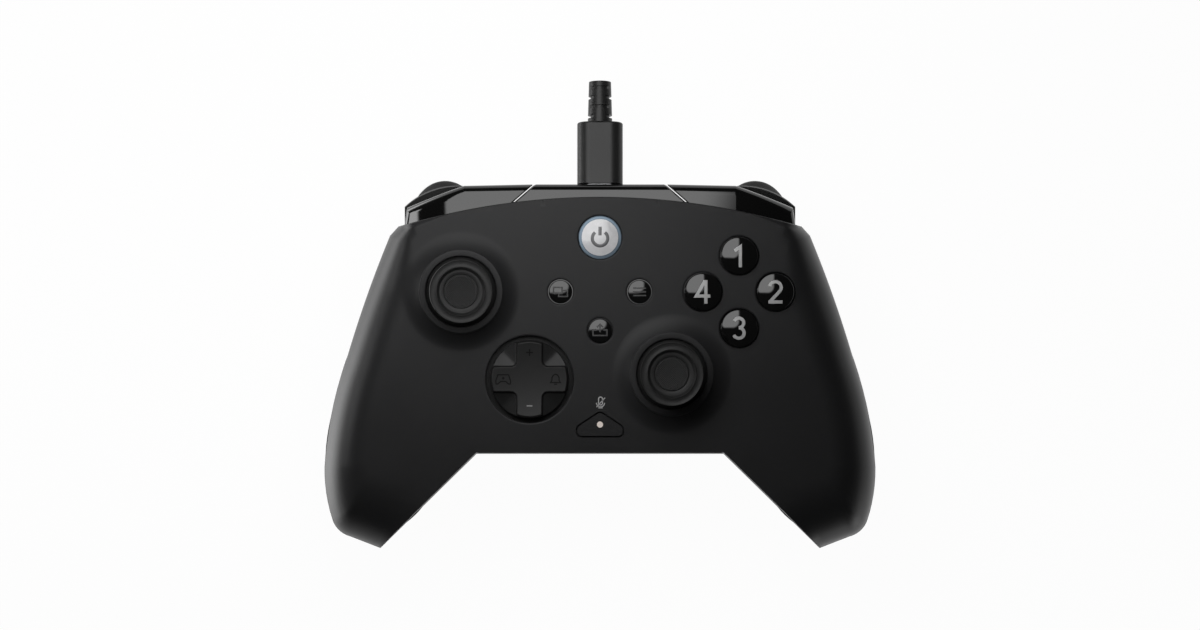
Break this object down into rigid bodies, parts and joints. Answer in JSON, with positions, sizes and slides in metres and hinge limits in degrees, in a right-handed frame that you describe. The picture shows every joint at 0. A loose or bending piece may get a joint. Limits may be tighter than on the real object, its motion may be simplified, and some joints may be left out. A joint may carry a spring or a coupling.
{
  "type": "gamepad controller",
  "caption": "Wired gamepad with two thumb sticks, a cross pad, round face buttons, bumpers, triggers and a plug-in cable end.",
  "frame": {"origin": "on the table under the middle of the box round the pad, grips and plug", "axes": "+Z out of the face, +Y towards the cable plug, +X to the player's right"},
  "size_m": [0.1548, 0.1314, 0.06],
  "materials": {
    "casing_black": "fine matt texture",
    "rear_black": "fine matt texture",
    "gloss_black": "polished",
    "trigger_black": "fine dotted texture",
    "frame_black": "plain moulded",
    "stick_rubber": "matt with a fine diamond texture",
    "dome_rubber": "matt",
    "lens_pearl": "polished pearl",
    "rim_steel_blue": "polished tint",
    "light_white": "frosted",
    "board_green": "lacquered",
    "chip_black": "moulded",
    "steel": "plain",
    "module_grey": "stamped",
    "pom_white": "slippery moulded",
    "cord_black": "satin moulded"
  },
  "bodies": {
    "casing": {"front_shell": "casing_black", "rear_shell": "rear_black", "mid_frame": "frame_black", "top_bridge": "gloss_black", "main_board": "board_green", "board_chips": "chip_black", "pad_dome_mat": "dome_rubber", "face_dome_mat": "dome_rubber", "centre_dome_mat": "dome_rubber", "pad_post": "pom_white", "headset_jack": "chip_black", "cable_port": "steel", "port_board": "board_green", "case_screws": "steel", "board_screws": "steel", "mic_board": "board_green", "button_switches": "chip_black", "stick_springs": "steel", "stick_sensors": "chip_black", "click_switches": "chip_black", "trigger_pins": "steel", "trigger_springs": "steel", "motors": "module_grey", "left_stick_housing": "module_grey", "right_stick_housing": "module_grey"},
    "left_yoke": {"left_stick_yoke": "pom_white"},
    "left_swivel": {"left_stick_swivel": "pom_white"},
    "left_stick": {"left_stick_shaft": "pom_white", "left_stick_cap": "stick_rubber"},
    "right_yoke": {"right_stick_yoke": "pom_white"},
    "right_swivel": {"right_stick_swivel": "pom_white"},
    "right_stick": {"right_stick_shaft": "pom_white", "right_stick_cap": "stick_rubber"},
    "pad_pivot": {"pad_ball": "steel"},
    "pad": {"direction_pad": "casing_black"},
    "face_button_top_body": {"face_button_top": "gloss_black"},
    "face_button_left_body": {"face_button_left": "gloss_black"},
    "face_button_right_body": {"face_button_right": "gloss_black"},
    "face_button_bottom_body": {"face_button_bottom": "gloss_black"},
    "view_button_body": {"view_button": "gloss_black"},
    "menu_button_body": {"menu_button": "gloss_black"},
    "share_button_body": {"share_button": "gloss_black"},
    "guide_button_body": {"guide_rim": "rim_steel_blue", "guide_lens": "lens_pearl"},
    "mic_button_body": {"mic_button": "casing_black", "mic_light": "light_white"},
    "left_bumper_body": {"left_bumper": "gloss_black"},
    "left_trigger_body": {"left_trigger": "trigger_black", "left_trigger_magnet": "steel"},
    "left_back_button_body": {"left_back_button": "gloss_black"},
    "left_rotor": {"left_motor_rotor": "steel"},
    "right_bumper_body": {"right_bumper": "gloss_black"},
    "right_trigger_body": {"right_trigger": "trigger_black", "right_trigger_magnet": "steel"},
    "right_back_button_body": {"right_back_button": "gloss_black"},
    "right_rotor": {"right_motor_rotor": "steel"},
    "plug": {"plug_grip": "cord_black", "plug_tip": "steel", "strain_relief": "cord_black"}
  },
  "joints": [
    {"name": "left_stick_up_down", "type": "hinge", "parent": "casing", "child": "left_yoke", "pos_m": [-0.0391, 0.0064, 0.0365], "axis": [1, 0, 0], "range_deg": [-18, 18], "stiffness_Nm_per_rad": 0.02},
    {"name": "left_stick_left_right", "type": "hinge", "parent": "left_yoke", "child": "left_swivel", "pos_m": [-0.0391, 0.0064, 0.0365], "axis": [0, 1, 0], "range_deg": [-18, 18], "stiffness_Nm_per_rad": 0.02},
    {"name": "left_stick_click", "type": "slide", "parent": "left_swivel", "child": "left_stick", "axis": [0, 0, -1], "range_m": [0, 0.0005], "stiffness_N_per_m": 4000, "springref_m": -0.0005},
    {"name": "right_stick_up_down", "type": "hinge", "parent": "casing", "child": "right_yoke", "pos_m": [0.0202, -0.0168, 0.0365], "axis": [1, 0, 0], "range_deg": [-18, 18], "stiffness_Nm_per_rad": 0.02},
    {"name": "right_stick_left_right", "type": "hinge", "parent": "right_yoke", "child": "right_swivel", "pos_m": [0.0202, -0.0168, 0.0365], "axis": [0, 1, 0], "range_deg": [-18, 18], "stiffness_Nm_per_rad": 0.02},
    {"name": "right_stick_click", "type": "slide", "parent": "right_swivel", "child": "right_stick", "axis": [0, 0, -1], "range_m": [0, 0.0005], "stiffness_N_per_m": 4000, "springref_m": -0.0005},
    {"name": "pad_rock_up_down", "type": "hinge", "parent": "casing", "child": "pad_pivot", "pos_m": [-0.0198, -0.0183, 0.04], "axis": [1, 0, 0], "range_deg": [-4.5, 4.5], "stiffness_Nm_per_rad": 0.03, "deforming": ["pad_dome_mat"]},
    {"name": "pad_rock_left_right", "type": "hinge", "parent": "pad_pivot", "child": "pad", "pos_m": [-0.0198, -0.0183, 0.04], "axis": [0, 1, 0], "range_deg": [-4.5, 4.5], "stiffness_Nm_per_rad": 0.03, "deforming": ["pad_dome_mat"]},
    {"name": "face_button_top_press", "type": "slide", "parent": "casing", "child": "face_button_top_body", "axis": [0, 0, -1], "range_m": [0, 0.0013], "stiffness_N_per_m": 600, "springref_m": -0.001, "deforming": ["face_dome_mat"]},
    {"name": "face_button_left_press", "type": "slide", "parent": "casing", "child": "face_button_left_body", "axis": [0, 0, -1], "range_m": [0, 0.0013], "stiffness_N_per_m": 600, "springref_m": -0.001, "deforming": ["face_dome_mat"]},
    {"name": "face_button_right_press", "type": "slide", "parent": "casing", "child": "face_button_right_body", "axis": [0, 0, -1], "range_m": [0, 0.0013], "stiffness_N_per_m": 600, "springref_m": -0.001, "deforming": ["face_dome_mat"]},
    {"name": "face_button_bottom_press", "type": "slide", "parent": "casing", "child": "face_button_bottom_body", "axis": [0, 0, -1], "range_m": [0, 0.0013], "stiffness_N_per_m": 600, "springref_m": -0.001, "deforming": ["face_dome_mat"]},
    {"name": "view_button_press", "type": "slide", "parent": "casing", "child": "view_button_body", "axis": [0, 0, -1], "range_m": [0, 0.0007], "stiffness_N_per_m": 600, "springref_m": -0.001, "deforming": ["centre_dome_mat"]},
    {"name": "menu_button_press", "type": "slide", "parent": "casing", "child": "menu_button_body", "axis": [0, 0, -1], "range_m": [0, 0.0007], "stiffness_N_per_m": 600, "springref_m": -0.001, "deforming": ["centre_dome_mat"]},
    {"name": "share_button_press", "type": "slide", "parent": "casing", "child": "share_button_body", "axis": [0, 0, -1], "range_m": [0, 0.0007], "stiffness_N_per_m": 600, "springref_m": -0.001, "deforming": ["centre_dome_mat"]},
    {"name": "guide_button_press", "type": "slide", "parent": "casing", "child": "guide_button_body", "axis": [0, 0, -1], "range_m": [0, 0.0006], "stiffness_N_per_m": 600, "springref_m": -0.001, "deforming": ["centre_dome_mat"]},
    {"name": "mic_button_press", "type": "slide", "parent": "casing", "child": "mic_button_body", "axis": [0, 0, -1], "range_m": [0, 0.0004], "stiffness_N_per_m": 600, "springref_m": -0.001},
    {"name": "left_bumper_press", "type": "hinge", "parent": "casing", "child": "left_bumper_body", "pos_m": [-0.032, 0.0286, 0.037], "axis": [0, 0, 1], "range_deg": [0, 3], "stiffness_Nm_per_rad": 0.8, "springref_deg": -1.72},
    {"name": "left_trigger_pull", "type": "hinge", "parent": "casing", "child": "left_trigger_body", "pos_m": [-0.0467, 0.0268, 0.0262], "axis": [-1, 0, 0], "range_deg": [0, 16], "stiffness_Nm_per_rad": 0.12, "springref_deg": -17.19},
    {"name": "left_back_button_press", "type": "slide", "parent": "casing", "child": "left_back_button_body", "axis": [0, 0, 1], "range_m": [0, 0.0008], "stiffness_N_per_m": 700, "springref_m": -0.001},
    {"name": "left_motor_spin", "type": "hinge", "parent": "casing", "child": "left_rotor", "pos_m": [-0.06099, -0.03, 0.019], "axis": [0, 1, 0], "continuous": true},
    {"name": "right_bumper_press", "type": "hinge", "parent": "casing", "child": "right_bumper_body", "pos_m": [0.032, 0.0286, 0.037], "axis": [0, 0, -1], "range_deg": [0, 3], "stiffness_Nm_per_rad": 0.8, "springref_deg": -1.72},
    {"name": "right_trigger_pull", "type": "hinge", "parent": "casing", "child": "right_trigger_body", "pos_m": [0.0467, 0.0268, 0.0262], "axis": [-1, 0, 0], "range_deg": [0, 16], "stiffness_Nm_per_rad": 0.12, "springref_deg": -17.19},
    {"name": "right_back_button_press", "type": "slide", "parent": "casing", "child": "right_back_button_body", "axis": [0, 0, 1], "range_m": [0, 0.0008], "stiffness_N_per_m": 700, "springref_m": -0.001},
    {"name": "right_motor_spin", "type": "hinge", "parent": "casing", "child": "right_rotor", "pos_m": [0.06099, -0.03, 0.019], "axis": [0, 1, 0], "continuous": true},
    {"name": "plug_pull", "type": "slide", "parent": "casing", "child": "plug", "axis": [0, 0.9848, -0.1736], "range_m": [0, 0.03]}
  ]
}
